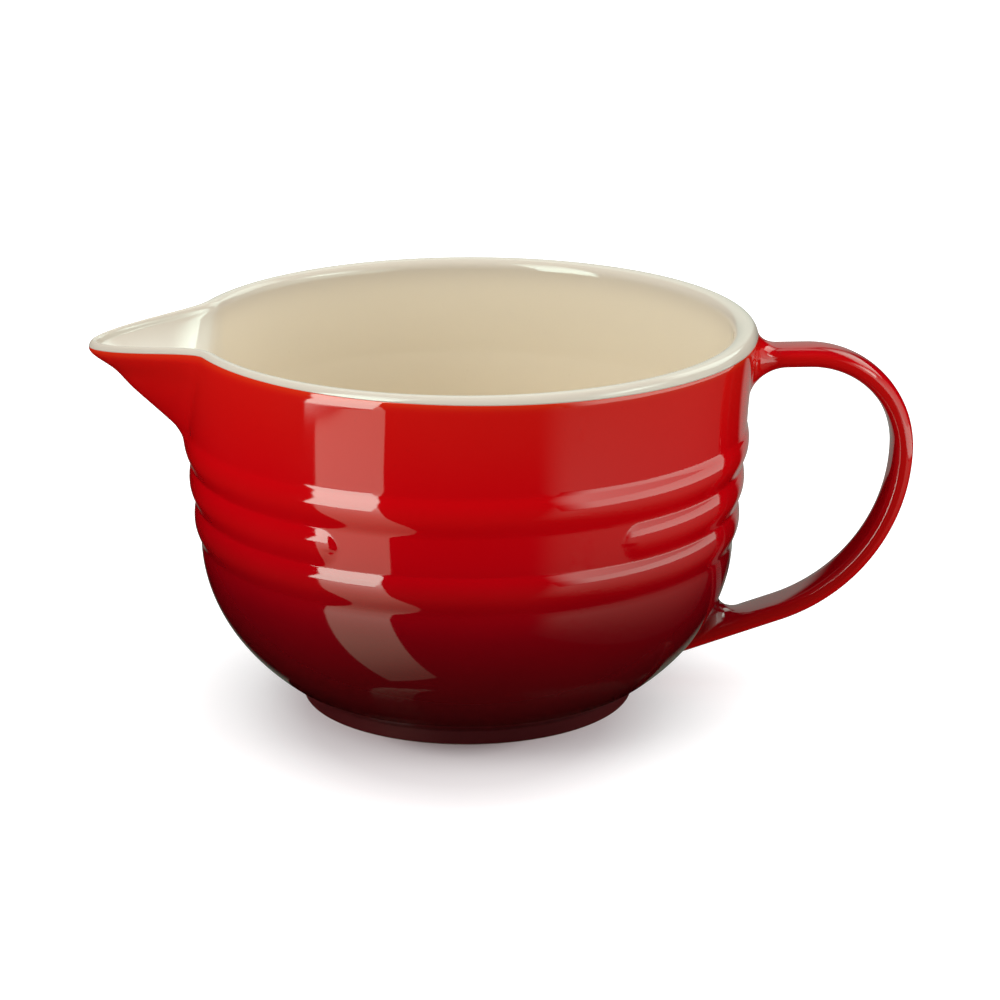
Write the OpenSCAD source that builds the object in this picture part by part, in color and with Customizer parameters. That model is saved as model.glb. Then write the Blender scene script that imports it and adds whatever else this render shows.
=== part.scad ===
// Batter bowl: a footed stoneware mixing bowl with a pouring spout, three ribs and a strap handle.
// It stands on z = 0 with its axis on Z. The spout points to -X, the handle to +X, the panel to -Y.

/* [Bowl] */
// Outer diameter of the wall just under the rim
rim_d = 185; // [175:0.5:200]
// Height of the rim's crest above the table
bowl_h = 125.6; // [118:0.2:140]
// Diameter of the wall just above the ribs
shoulder_d = 182.6; // [170:0.2:196]
// Diameter of the bowl just below the ribs
belly_d = 174.6; // [160:0.2:190]
// Height of the plain wall between the ribs and the rim's crest
plain_h = 32.4; // [28:0.2:38]
// Thickness of the wall
wall_t = 5.4; // [4:0.1:7]
// Thickness of the floor
floor_t = 5.5; // [4:0.1:8]

/* [Ribs] */
// Number of ribs round the wall
rib_count = 3; // [1:1:3]
// Height that each rib takes up on the wall
rib_pitch = 12.9; // [10:0.1:14.5]
// How far a rib stands out of the wall
rib_h = 1.1; // [0.5:0.05:1.6]
// Angle of the plain panel that breaks the middle rib at the front
panel_angle = 63; // [30:1:90]

/* [Glaze] */
// Thickness of the cream glaze inside the bowl
glaze_t = 0.6; // [0.4:0.1:1]
// Height of the cream band over the rim
rim_band = 2.1; // [1.5:0.1:3]

/* [Foot] */
// Outer diameter of the foot at the table
foot_d = 109; // [100:0.5:120]
// Height of the foot
foot_h = 5; // [4:0.2:6]
// Width of the foot at the table
foot_w = 7; // [5:0.5:12]
// How far the foot's side flares out up to the bowl
foot_flare = 0.85; // [0.3:0.05:2]
// Width of the bevel on the foot's lower edges
foot_bevel = 0.9; // [0.5:0.1:1.5]

/* [Spout] */
// How far the spout's tip stands out of the wall
spout_reach = 30.5; // [20:0.5:40]
// Angle of the wall that the spout takes up
spout_angle = 52; // [40:1:64]
// Height of the spout's root above the crest of the top rib
spout_gap = 3.8; // [1:0.2:8]
// How far the lip dips from the rim to the tip
spout_dip = 3; // [1:0.5:6]
// Thickness of the spout at its tip
lip_t = 3; // [2:0.1:4]

/* [Handle] */
// Drop from the rim's crest to the centre line of the handle's upper arm
handle_drop = 12.6; // [11:0.2:16]
// Straight length of the upper arm, from the rim's outside
handle_arm = 17.5; // [12:0.5:24]
// Radius of the upper bend, at the strap's centre line
upper_bend_r = 33.5; // [29:0.1:38]
// Place of the lower arm's root on the lower bowl's curve, as a share of the way from belly to foot
root_share = 0.762; // [0.7:0.002:0.79]
// Angle between the lower arm and the bowl's surface at its root
root_angle = 24.7; // [23:0.1:28]
// Width of the strap
handle_w = 16; // [12:0.5:22]
// Thickness of the strap
handle_t = 7; // [5.5:0.1:8]
// Radius of the slip fillet round each end of the handle
joint_r = 6; // [4:0.2:7]
// Clearance that the handle's ends and the slip fillets keep from the wall
joint_seat = 0.15; // [0.1:0.01:0.3]

/* [Hidden] */

// Colours of the two glazes and of the maroon that the red deepens to at the foot
red_glaze = [0.74, 0.04, 0.05];
maroon_glaze = [0.33, 0.02, 0.04];
cream_glaze = [0.85, 0.79, 0.67];

// One overrun for all cuts
cut = 1;
// How finely a round solid is drawn
$fn = 180;
// Steps along one rib, the lower bowl, the floor's curve, the rim's dome and half of the spout
rib_steps = 10;
belly_steps = 16;
floor_steps = 14;
dome_steps = 8;
spout_steps = 16;
// Steps up the spout, round the strap, along a bend, across an end on the wall and along a slip fillet
lip_steps = 10;
strap_steps = 36;
bend_steps = 16;
end_steps = 4;
fillet_steps = 6;
// Powers of the curves: floor, rim dome, spout plan, spout flank, channel and strap section
floor_power = 2.75;
dome_power = 2.6;
plan_power = 1.6;
flank_power = 3.2;
channel_power = 1.3;
strap_power = 2.4;
// Width of the spout at its root, as a part of its width at the lip
root_width_share = 0.4;
// Part of the fillet that is left on the underside of the lower arm
underside_share = 0.15;
// Least stand of the fillet off the strap, as a part of the fillet's radius
feather_share = 0.06;
// Angle at which the rim's dome leaves its seat, so that it ends on a small upright face
dome_start = 12;

rim_r = rim_d / 2;
shoulder_r = shoulder_d / 2;
belly_r = belly_d / 2;
foot_r = foot_d / 2;
foot_top_r = foot_r + foot_flare;
band_z = bowl_h - rim_band;
ribs_top = bowl_h - plain_h;
belly_z = ribs_top - rib_count * rib_pitch;
spout_z = ribs_top - rib_pitch / 2 + spout_gap;
middle_rib = floor(rib_count / 2);

// The ellipse of the lower bowl, from the foot to the ribs: its half height, and its radius at a height
belly_drop = (belly_z - foot_h) / sqrt(1 - pow(foot_top_r / belly_r, 2));
function belly_at(z) = belly_r * sqrt(1 - pow((belly_z - z) / belly_drop, 2));

// The smooth wall without its ribs: from the belly to the shoulder, then on to the rim
function wall_at(z) = z < ribs_top
    ? belly_r + (shoulder_r - belly_r) * (z - belly_z) / (ribs_top - belly_z)
    : shoulder_r + (rim_r - shoulder_r) * (z - ribs_top) / (band_z - ribs_top);

// How far the ribs stand out of the wall at a height: one wave to a rib, which starts and ends on the wall
function rib_rise(z) = z < ribs_top ? rib_h * pow(sin(180 * (z - belly_z) / rib_pitch), 2) : 0;

// The points of one rib
function rib(number) = [for (i = [1:rib_steps])
    let (z = belly_z + (number + i / rib_steps) * rib_pitch)
    [wall_at(z) + rib_rise(z), z]];

// The outside from the foot to the cream band
outside = concat(
    [for (i = [0:belly_steps])
        let (z = foot_h + (belly_z - foot_h) * i / belly_steps) [belly_at(z), z]],
    [for (n = [0:rib_count - 1], p = rib(n)) p],
    [[rim_r, band_z]]);

// The inside, set in from the outside by a thickness: the rim, the belly, then the curve to the floor
function inside(wall, floor_top) = concat(
    [[rim_r - wall, band_z], [shoulder_r - wall, ribs_top]],
    [for (i = [0:floor_steps])
        let (turn = 90 * i / floor_steps)
        [(belly_r - wall) * pow(cos(turn), 2 / floor_power),
         belly_z - (belly_z - floor_top) * pow(sin(turn), 2 / floor_power)]]);

// The dome of the rim, as shares of its width from the inside out and of its height
dome_shares = [for (i = [0:dome_steps])
    let (turn = dome_start + (180 - 2 * dome_start) * i / dome_steps, along = cos(turn))
    [(1 - sign(along) * pow(abs(along), 2 / dome_power)) / 2, pow(sin(turn), 2 / dome_power)]];

// The slice of the wall that the spout takes up
module spout_slice() {
    rotate([0, 0, 180 - spout_angle / 2])
        rotate_extrude(angle = spout_angle)
            translate([0, spout_z])
                square([max(rim_r, shoulder_r) + cut, bowl_h - spout_z + cut]);
}

// The stretch of the middle rib that the plain panel takes away
module panel_slice() {
    low = belly_z + middle_rib * rib_pitch;
    high = low + rib_pitch;
    rotate([0, 0, 270 - panel_angle / 2])
        rotate_extrude(angle = panel_angle)
            polygon([
                [wall_at(low), low],
                [wall_at(low) + rib_h + cut, low],
                [wall_at(high) + rib_h + cut, high],
                [wall_at(high), high]]);
}

module bowl_wall() {
    color(red_glaze)
        difference() {
            rotate_extrude()
                polygon(concat([[0, foot_h]], outside, inside(wall_t, foot_h + floor_t)));
            spout_slice();
            panel_slice();
        }
}

module foot_ring() {
    color(maroon_glaze)
        rotate_extrude()
            polygon([
                [foot_r - foot_bevel, 0],
                [foot_r, foot_bevel],
                [foot_top_r, foot_h],
                [foot_top_r - foot_w, foot_h],
                [foot_r - foot_w, foot_bevel],
                [foot_r - foot_w + foot_bevel, 0]]);
}

module cream_lining() {
    lining_t = wall_t + glaze_t;
    dome = [for (p = dome_shares) [rim_r - lining_t * (1 - p[0]), band_z + rim_band * p[1]]];
    seat = inside(wall_t, foot_h + floor_t);
    face = inside(lining_t, foot_h + floor_t + glaze_t);
    back_to_rim = [for (i = [len(face) - 1:-1:0]) face[i]];
    color(cream_glaze)
        difference() {
            rotate_extrude()
                polygon(concat([[rim_r, band_z]], seat, back_to_rim, dome));
            spout_slice();
        }
}

// Half the angle that the spout takes up at a share of its height: it widens from its root to its lip
function half_angle(share) = spout_angle / 2 * (root_width_share + (1 - root_width_share) * share);

// How far the spout swells at an angle and a share of its height, from 1 at its middle to 0 at the wall
function swell(angle, share) =
    let (side = min(1, abs(angle) / half_angle(share)))
    pow(1 - pow(side, plan_power), flank_power);

// A point on a radial plane of the spout
function spout_point(angle, r, z) = [-r * cos(angle), -r * sin(angle), z];

// Height of the spout's upper edge, under the cream lip
function lip_z(angle) = band_z - spout_dip * swell(angle, 1);

// The spout's outside and its channel, at an angle from the middle and a share of the height
function flank_r(angle, z, share) = wall_at(z) + rib_rise(z) + spout_reach * share * swell(angle, share);
function channel_r(angle, z, share) = wall_at(z) - wall_t
    + (spout_reach + wall_t - lip_t) * pow(share, channel_power) * swell(angle, share);

spout_angles = [for (i = [-spout_steps:spout_steps]) spout_angle / 2 * i / spout_steps];
lip_shares = [for (i = [0:lip_steps]) i / lip_steps];

// Column of points up the spout: on the flank, or on the channel set in by a coat
function flank(angle) = [for (share = lip_shares)
    let (z = spout_z + (lip_z(angle) - spout_z) * share)
    spout_point(angle, flank_r(angle, z, share), z)];
function channel(angle, coat) = [for (share = lip_shares)
    let (z = spout_z + (lip_z(angle) - spout_z) * share)
    spout_point(angle, channel_r(angle, z, share) - coat, z)];

// The lip over the spout's upper edge: a row along its seat, or along its dome
function lip(angle, domed) =
    let (z = lip_z(angle), outer = flank_r(angle, z, 1), inner = channel_r(angle, z, 1))
    [for (p = dome_shares)
        domed
        ? spout_point(angle, inner - glaze_t + (outer - inner + glaze_t) * p[0], z + rim_band * p[1])
        : spout_point(angle, inner + (outer - inner) * p[0], z)];

// A four-cornered face as two triangles
function square_of(a, b, c, d) = [[a, b, c], [a, c, d]];

// Solid between two sheets of points with as many rows and columns, closed round its edges
module between_sheets(front, back) {
    rows = len(front);
    cols = len(front[0]);
    half = rows * cols;
    points = concat([for (row = front) each row], [for (row = back) each row]);
    function at(i, j) = i * cols + j;
    sheets = [for (i = [0:rows - 2], j = [0:cols - 2]) each concat(
        square_of(at(i, j), at(i, j + 1), at(i + 1, j + 1), at(i + 1, j)),
        square_of(half + at(i, j), half + at(i + 1, j), half + at(i + 1, j + 1), half + at(i, j + 1)))];
    ends = [for (j = [0:cols - 2], last = [false, true])
        let (a = at(last ? rows - 1 : 0, j), b = a + 1)
        each last ? square_of(a, b, half + b, half + a) : square_of(a, half + a, half + b, b)];
    edges = [for (i = [0:rows - 2], last = [false, true])
        let (a = at(i, last ? cols - 1 : 0), b = a + cols)
        each last ? square_of(a, half + a, half + b, b) : square_of(a, b, half + b, half + a)];
    polyhedron(points, concat(sheets, ends, edges));
}

module pouring_spout() {
    color(red_glaze)
        between_sheets([for (a = spout_angles) flank(a)], [for (a = spout_angles) channel(a, 0)]);
}

module spout_lining() {
    color(cream_glaze)
        between_sheets(
            [for (a = spout_angles) concat(channel(a, 0), lip(a, false))],
            [for (a = spout_angles) concat(channel(a, glaze_t), lip(a, true))]);
}

// Handle: its centre line in the plane y = 0. The upper arm is level, two bends follow, and the lower arm
// falls to its root on the bowl. The lower bend has the radius at which it runs into that arm
arm_z = bowl_h - handle_drop;
arm_end = rim_r + handle_arm;
bend_z = arm_z - upper_bend_r;
outer_x = arm_end + upper_bend_r;
root_turn = root_share * acos(foot_top_r / belly_r);
root_x = belly_r * cos(root_turn);
root_z = belly_z - belly_drop * sin(root_turn);
lower_slope = atan2(belly_drop * cos(root_turn), belly_r * sin(root_turn)) - root_angle;
root_fall = (bend_z - root_z) * cos(lower_slope);
root_reach = (outer_x - root_x) * sin(lower_slope);
lower_bend_r = (root_fall - root_reach) / (1 - sin(lower_slope));
lower_bend_x = outer_x - lower_bend_r;
lower_turn = 90 - lower_slope;
lower_arm_x = lower_bend_x + lower_bend_r * cos(lower_turn);
lower_arm_z = bend_z - lower_bend_r * sin(lower_turn);

// The strap's section, grown by a margin: from the inside of the bend out, and across
function strap(margin) = [for (i = [0:strap_steps - 1])
    let (turn = -360 * i / strap_steps, c = cos(turn), s = sin(turn))
    [(handle_t / 2 + margin) * sign(c) * pow(abs(c), 2 / strap_power),
     (handle_w / 2 + margin) * sign(s) * pow(abs(s), 2 / strap_power)]];

// A ring of section points on a bend, at a turn from the level
function bend_ring(section, x, radius, turn) = [for (p = section)
    [x + (radius + p[0]) * cos(turn), p[1], bend_z + (radius + p[0]) * sin(turn)]];

// A ring of section points on the upper arm, laid round the wall at a distance from it
function upper_ring(section, distance) = [for (p = section)
    let (z = arm_z + p[0])
    [sqrt(pow(wall_at(z), 2) - pow(p[1], 2)) + joint_seat + distance, p[1], z]];

// How far a line along the lower arm runs from the bend until it meets the lower bowl
function belly_hit(out, side) =
    let (dx = -cos(lower_slope), dz = -sin(lower_slope),
         x = lower_arm_x - out * dz, z = lower_arm_z + out * dx - belly_z,
         a = pow(dx / belly_r, 2) + pow(dz / belly_drop, 2),
         b = x * dx / pow(belly_r, 2) + z * dz / pow(belly_drop, 2),
         c = (pow(x, 2) + pow(side, 2)) / pow(belly_r, 2) + pow(z / belly_drop, 2) - 1)
    (-b - sqrt(pow(b, 2) - a * c)) / a;

// A ring of section points on the lower arm, laid round the lower bowl at a distance from it
function lower_ring(section, distance) = [for (p = section)
    let (run = belly_hit(p[0], p[1]) - joint_seat - distance)
    [lower_arm_x + p[0] * sin(lower_slope) - run * cos(lower_slope), p[1],
     lower_arm_z - p[0] * cos(lower_slope) - run * sin(lower_slope)]];

// Solid through a row of rings with as many points: closed to a loop, or by a fan at each end
module through_rings(rings, looped) {
    count = len(rings[0]);
    last = (len(rings) - 1) * count;
    sides = [for (i = [0:len(rings) - (looped ? 1 : 2)], j = [0:count - 1])
        let (a = i * count + j, b = i * count + (j + 1) % count, step = a < last ? count : -last)
        each square_of(a, a + step, b + step, b)];
    ends = [for (j = [1:count - 2])
        each [[0, j, j + 1], [last, last + j + 1, last + j]]];
    polyhedron([for (ring = rings) each ring], looped ? sides : concat(sides, ends));
}

module handle() {
    shares = [for (i = [1:end_steps]) i / end_steps];
    upper_end = [for (share = shares) upper_ring(strap(0) * share, 0)];
    lower_end = [for (share = shares) lower_ring(strap(0) * share, 0)];
    upper_bend = [for (i = [0:bend_steps])
        bend_ring(strap(0), arm_end, upper_bend_r, 90 - 90 * i / bend_steps)];
    lower_bend = [for (i = [1:bend_steps])
        bend_ring(strap(0), lower_bend_x, lower_bend_r, -lower_turn * i / bend_steps)];
    color(red_glaze)
        through_rings(concat(upper_end, upper_bend, lower_bend,
                             [for (i = [end_steps - 1:-1:0]) lower_end[i]]), false);
}

// Stand of a slip fillet off the strap at a distance from the wall: a hollow quarter round
function fillet(distance) =
    max(joint_r * feather_share, joint_r - sqrt(pow(joint_r, 2) - pow(joint_r - distance, 2)));

// Section of a slip fillet as stands and distances: out along the wall, then up the hollow to the strap
fillet_section = concat(
    [for (i = [0:end_steps - 1]) [joint_r * i / end_steps, 0]],
    [for (i = [0:fillet_steps])
        let (distance = joint_r * i / fillet_steps) [fillet(distance), distance]],
    [[0, joint_r]]);

module upper_handle_joint() {
    color(red_glaze)
        through_rings([for (p = fillet_section) upper_ring(strap(p[0]), p[1])], true);
}

// The strap's section with a fillet's stand, of which the underside takes only a part
function lower_fillet(stand) = [for (p = strap(0))
    let (turn = atan2(p[1] / handle_w, p[0] / handle_t))
    p + stand * [cos(turn) * (cos(turn) > 0 ? underside_share : 1), sin(turn)]];

module lower_handle_joint() {
    color(maroon_glaze)
        through_rings([for (i = [len(fillet_section) - 1:-1:0])
            let (p = fillet_section[i]) lower_ring(lower_fillet(p[0]), p[1])], true);
}

bowl_wall();
foot_ring();
cream_lining();
pouring_spout();
spout_lining();
handle();
upper_handle_joint();
lower_handle_joint();
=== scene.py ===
import bpy
import numpy as np
from math import radians, pi, sin, cos, atan2, acos
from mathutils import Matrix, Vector


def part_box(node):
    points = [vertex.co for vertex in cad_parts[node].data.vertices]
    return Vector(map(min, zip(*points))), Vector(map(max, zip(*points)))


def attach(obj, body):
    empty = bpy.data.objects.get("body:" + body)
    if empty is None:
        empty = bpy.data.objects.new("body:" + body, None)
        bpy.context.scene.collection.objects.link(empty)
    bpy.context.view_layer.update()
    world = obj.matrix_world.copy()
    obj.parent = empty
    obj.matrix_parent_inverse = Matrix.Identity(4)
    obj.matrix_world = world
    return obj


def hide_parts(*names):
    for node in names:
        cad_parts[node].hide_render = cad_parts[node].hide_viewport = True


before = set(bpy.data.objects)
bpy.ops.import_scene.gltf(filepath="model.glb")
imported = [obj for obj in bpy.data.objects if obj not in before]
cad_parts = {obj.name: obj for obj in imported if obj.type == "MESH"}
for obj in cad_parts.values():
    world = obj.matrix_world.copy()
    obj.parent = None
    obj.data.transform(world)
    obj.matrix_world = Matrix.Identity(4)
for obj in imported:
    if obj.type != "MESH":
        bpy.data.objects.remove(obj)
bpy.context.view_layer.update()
mm = 0.001  # all shapes below are worked out in millimetres and scaled once, in meshFrom

# Sizes that come from the frame, in millimetres
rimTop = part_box("cream_lining")[1].z / mm
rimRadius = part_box("cream_lining")[1].y / mm
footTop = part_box("foot_ring")[1].z / mm
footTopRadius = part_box("foot_ring")[1].y / mm
spoutTip = -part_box("pouring_spout")[0].x / mm
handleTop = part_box("handle")[1].z / mm
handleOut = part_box("handle")[1].x / mm
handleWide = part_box("handle")[1].y / mm
print("frame loaded: rim", round(rimRadius, 1), "height", round(rimTop, 1))


# Mesh helpers

def signedVolume(points, tris):
    # sum of the tetrahedra between the origin and each triangle
    a, b, c = points[tris[:, 0]], points[tris[:, 1]], points[tris[:, 2]]
    return np.einsum("ij,ij->i", a, np.cross(b, c)).sum() / 6


def gridFaces(rows, cols, wrapRows):
    # quads between neighbouring rows, closed round the columns, and round the rows if asked
    i = np.arange(rows if wrapRows else rows - 1)[:, None]
    j = np.arange(cols)[None, :]
    up, side = (i + 1) % rows, (j + 1) % cols
    quads = np.stack([i * cols + j, i * cols + side, up * cols + side, up * cols + j], axis=-1)
    return quads.reshape(-1, 4)


def meshFrom(name, grid, material, poles=(None, None), wrapRows=False, fields=None):
    # a closed surface from a grid of points: rows by columns, with a pole point at either end
    rows, cols = grid.shape[:2]
    points = grid.reshape(-1, 3)
    quads = gridFaces(rows, cols, wrapRows)
    j = np.arange(cols)
    side = (j + 1) % cols
    fans = []
    for pole, base, flip in ((poles[0], 0, True), (poles[1], (rows - 1) * cols, False)):
        if pole is not None:
            tip = np.full(cols, len(points))
            points = np.vstack([points, pole])
            edge = [base + side, base + j] if flip else [base + j, base + side]
            fans.append(np.stack([*edge, tip], axis=1))
    tris = np.vstack([quads[:, [0, 1, 2]], quads[:, [0, 2, 3]], *fans])
    if signedVolume(points, tris) < 0:
        quads = quads[:, ::-1]
        fans = [fan[:, ::-1] for fan in fans]
    mesh = bpy.data.meshes.new(name)
    faces = quads.tolist() + [face for fan in fans for face in fan.tolist()]
    mesh.from_pydata((points * mm).tolist(), [], faces)
    for label, values in (fields or {}).items():
        flat = np.concatenate([values.reshape(-1), np.zeros(len(points) - rows * cols)])
        mesh.attributes.new(label, "FLOAT", "POINT").data.foreach_set("value", flat.astype(np.float32))
    mesh.polygons.foreach_set("use_smooth", np.ones(len(mesh.polygons), dtype=bool))
    mesh.materials.append(material)
    mesh.update()
    piece = bpy.data.objects.new(name, mesh)
    bpy.context.scene.collection.objects.link(piece)
    print(name, len(mesh.polygons), "faces")
    return piece


def onAxis(angle, radius, height):
    # cylinder coordinates to points; the angle starts at the spout and the front is at a quarter turn
    return np.stack(np.broadcast_arrays(-radius * np.cos(angle), -radius * np.sin(angle), height), axis=-1)


# Shape of the bowl

bowl = {
    "shoulder": 91.3,      # outer radius just above the ribs
    "belly": 87.3,         # outer radius just below the ribs
    "plain": 32.4,         # plain wall between ribs and crest
    "ribPitch": 12.9,
    "ribCount": 3,
    "ribStand": 1.3,
    "ribPowers": (1.0, 1.8),   # a rib leaves the wall in a crease above and in a soft hollow below
    "brokenRib": 1,        # the rib that the front panel breaks, from below
    "panelHalf": 33.4,     # half angle of the panel, to the middle of the ribs' round ends
    "wall": 6.0,           # wall with its lining
    "floorTop": 11.1,
    "floorPower": 2.75,
    "band": 1.2,           # cream band over the rim at the spout
    "bandGrows": 2.2,      # how much deeper the band is at the handle
    "flare": 2.4,          # how much further the rim leans out at the handle
    "outerRound": 4.6,     # depth of the rim's outer and inner rounding
    "innerRound": 3.6,
    "roundPower": 2.2,
}
spout = {
    "half": 23.6,          # half angle of wall that the spout takes up
    "rootWidth": 0.4,      # width at the root, as a share of the width at the lip
    "gap": 3.0,            # height of the root above the top rib's crest
    "dip": 4.1,            # how far the lip dips at the tip
    "lip": 3.6,            # thickness of the lip at the tip
    "planPower": 1.73,
    "flankPower": 2.67,
    "channelPower": 1.3,
    "rootRound": 0.06,     # softness of the spout's lower edge, as a share of its height
    "upright": 2.6,        # depth of the upright lip below the cream band, on the spout's flanks
    "uprightTip": 1.1,     # and at its tip
    "lipRound": 0.05,      # softness of the upright lip's lower edge
    "bead": 0.8,           # stand of the rolled edge at the tip
    "beadAt": 0.95,        # its place and its width, as shares of the spout's height
    "beadWide": 0.12,
    "hollow": 1.3,         # depth of the hollow below the rolled edge
    "hollowAt": 0.79,      # its place and its width, as shares of the spout's height
    "hollowWide": 0.16,
    "bandGrows": 0.9,      # how much deeper the cream band is along the spout's lip
    "bandStart": 0.06,     # share of the spout's swell at which half of that is reached
}
ribsTop = rimTop - bowl["plain"]
bellyZ = ribsTop - bowl["ribCount"] * bowl["ribPitch"]
bellyDrop = (bellyZ - footTop) / np.sqrt(1 - (footTopRadius / bowl["belly"]) ** 2)
spoutZ = ribsTop - bowl["ribPitch"] / 2 + spout["gap"]
frontAngle = pi / 2


def wallRadius(z):
    # an ellipse up to the belly, then two straight flares: through the ribs and on to the rim
    share = np.clip((bellyZ - z) / bellyDrop, 0, 1)
    lower = bowl["belly"] * np.sqrt(1 - share ** 2)
    ribbed = bowl["belly"] + (bowl["shoulder"] - bowl["belly"]) * (z - bellyZ) / (ribsTop - bellyZ)
    upper = bowl["shoulder"] + (rimRadius - bowl["shoulder"]) * (z - ribsTop) / (rimTop - ribsTop)
    return np.where(z < bellyZ, lower, np.where(z < ribsTop, ribbed, upper))


def ribRise(angle, z):
    # an arc across each rib, drawn softer below; past the broken rib's ends the distance is taken all round
    across = (z - bellyZ) / bowl["ribPitch"] - 0.5
    number = np.clip(np.round(across), 0, bowl["ribCount"] - 1)
    off = across - number
    fromFront = np.abs(np.angle(np.exp(1j * (angle - frontAngle))))
    past = np.maximum(0, radians(bowl["panelHalf"]) - fromFront) * wallRadius(z) / bowl["ribPitch"]
    reach = np.where(number == bowl["brokenRib"], np.hypot(off, past), np.abs(off))
    above, below = bowl["ribPowers"]
    return np.maximum(0, 1 - (2 * reach) ** 2) ** np.where(off > 0, above, below)


def handleSide(angle):
    # nothing at the spout, half at the front and the back, one at the handle
    return (1 - np.cos(angle)) / 2


def rimFlare(angle):
    # how far the rim leans out
    return bowl["flare"] * handleSide(angle)


def swell(angle, share=1.0):
    # one at the spout's middle and nothing at its edges, which part from the root up to the lip
    wide = spout["rootWidth"] + (1 - spout["rootWidth"]) * np.clip(share, 0, 1)
    aside = np.abs(np.degrees(np.angle(np.exp(1j * angle)))) / (spout["half"] * wide)
    return np.maximum(0, 1 - aside ** spout["planPower"]) ** spout["flankPower"]


def crestZ(angle):
    # the rim's crest, which dips at the spout
    return rimTop - spout["dip"] * swell(angle)


def bandZ(angle):
    # the border of cream and red: below the crest by a band that deepens to the handle and along the lip
    alongLip = swell(angle) / (swell(angle) + spout["bandStart"])
    depth = bowl["band"] + bowl["bandGrows"] * handleSide(angle) + spout["bandGrows"] * alongLip
    return crestZ(angle) - depth


spoutReach = spoutTip - spout["bead"] - wallRadius(bandZ(0))


def lipShare(angle, z):
    # how far up the spout a point is: nothing at its root, one at the foot of its upright lip
    upright = spout["upright"] + (spout["uprightTip"] - spout["upright"]) * swell(angle)
    return (z - spoutZ) / (bandZ(angle) - upright - spoutZ)


def softStart(share, soft):
    # nothing below zero, a straight ramp above it, rounded where the two meet
    return (np.sqrt(share ** 2 + soft ** 2) + share) / 2


def softRamp(share):
    # a straight ramp from the root to the upright lip, rounded at both ends
    return softStart(share, spout["rootRound"]) - softStart(share - 1, spout["lipRound"])


def rimHalf(angle):
    # half the rim's width: half the wall, thinner at the spout's tip and wider where the rim leans out
    return (bowl["wall"] + (spout["lip"] - bowl["wall"]) * swell(angle) + rimFlare(angle)) / 2


def beak(angle, z):
    # the spout's stand off the wall: a straight ramp up to the lip, with bell curves for its rolled edge and
    # for the hollow below it
    share = lipShare(angle, z)
    rolled = spout["bead"] * np.exp(-((share - spout["beadAt"]) / spout["beadWide"]) ** 2)
    drawn = spout["hollow"] * np.exp(-((share - spout["hollowAt"]) / spout["hollowWide"]) ** 2)
    ramp = spoutReach * softRamp(share) * swell(angle, share)
    return ramp + rolled * np.sqrt(swell(angle)) - drawn * swell(angle)


def outerRadius(angle, z):
    # wall, ribs, spout and the rim's lean, drawn in by the rounding of the rim's outer edge
    depth = np.clip((crestZ(angle) - z) / bowl["outerRound"], 0, 1)
    lean = rimFlare(angle) * np.clip((z - ribsTop) / (rimTop - ribsTop), 0, 1) ** 2
    power = bowl["roundPower"]
    drawnIn = rimHalf(angle) * (1 - (1 - (1 - depth) ** power) ** (1 / power))
    return wallRadius(z) + bowl["ribStand"] * ribRise(angle, z) + beak(angle, z) + lean - drawnIn


def innerRadius(angle, z):
    # the wall set in by its thickness, with the spout's channel, drawn back by the rim's inner rounding
    depth = np.clip((crestZ(angle) - z) / bowl["innerRound"], 0, 1)
    power = bowl["roundPower"]
    drawnBack = rimHalf(angle) * (1 - (1 - (1 - depth) ** power) ** (1 / power))
    share = np.clip((z - spoutZ) / (bandZ(angle) - spoutZ), 0, 1)
    reach = spoutReach + bowl["wall"] - spout["lip"]
    channel = reach * share ** spout["channelPower"] * swell(angle, share)
    return wallRadius(z) - bowl["wall"] + channel + drawnBack


# How finely the bowl is meshed
steps = {
    "columns": 420,        # round the bowl
    "trials": 4001,        # places at which the columns' density is worked out
    "closer": (1.6, 2.2, 4.0),  # how much closer they are at the broken rib's ends, at the spout, at its tip
    "ribEndIn": 2.0,       # degrees from the rib ends' middle into the panel
    "ribEndSpan": 4.0,     # degrees over which the columns are closer there, and at the tip
    "tipSpan": 4.0,
    "spoutSpan": 0.75,     # the same at the spout, as a share of its half angle
    "belly": 34,           # rows up the outside: the belly, the ribs, the wall up to the cream band
    "ribs": 72,
    "wall": 44,
    "crowd": 1.35,         # how much the wall's rows crowd towards the band
    "rim": 14,             # rows on either side of the crest
    "inWall": 34,          # rows down the inside: along the spout, on to the belly, round to the floor
    "inRibs": 12,
    "inFloor": 40,
    "under": 6,            # rings under the bowl, inside the foot
}


def columnAngles():
    # columns round the bowl, closer together at the spout and at the broken rib's ends
    turn = np.linspace(-pi, pi, steps["trials"])
    fromFront = np.abs(np.angle(np.exp(1j * (turn - frontAngle))))
    ribEnd = radians(bowl["panelHalf"] - steps["ribEndIn"])
    atEnds = np.exp(-((fromFront - ribEnd) / radians(steps["ribEndSpan"])) ** 2)
    atSpout = np.exp(-(turn / radians(spout["half"] * steps["spoutSpan"])) ** 4)
    atTip = np.exp(-(turn / radians(steps["tipSpan"])) ** 2)
    closerEnds, closerSpout, closerTip = steps["closer"]
    density = 1 + closerEnds * atEnds + closerSpout * atSpout + closerTip * atTip
    total = np.concatenate([[0], np.cumsum((density[1:] + density[:-1]) / 2)])
    count = steps["columns"]
    return np.interp(np.arange(count) / count * total[-1], total, turn)


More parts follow.
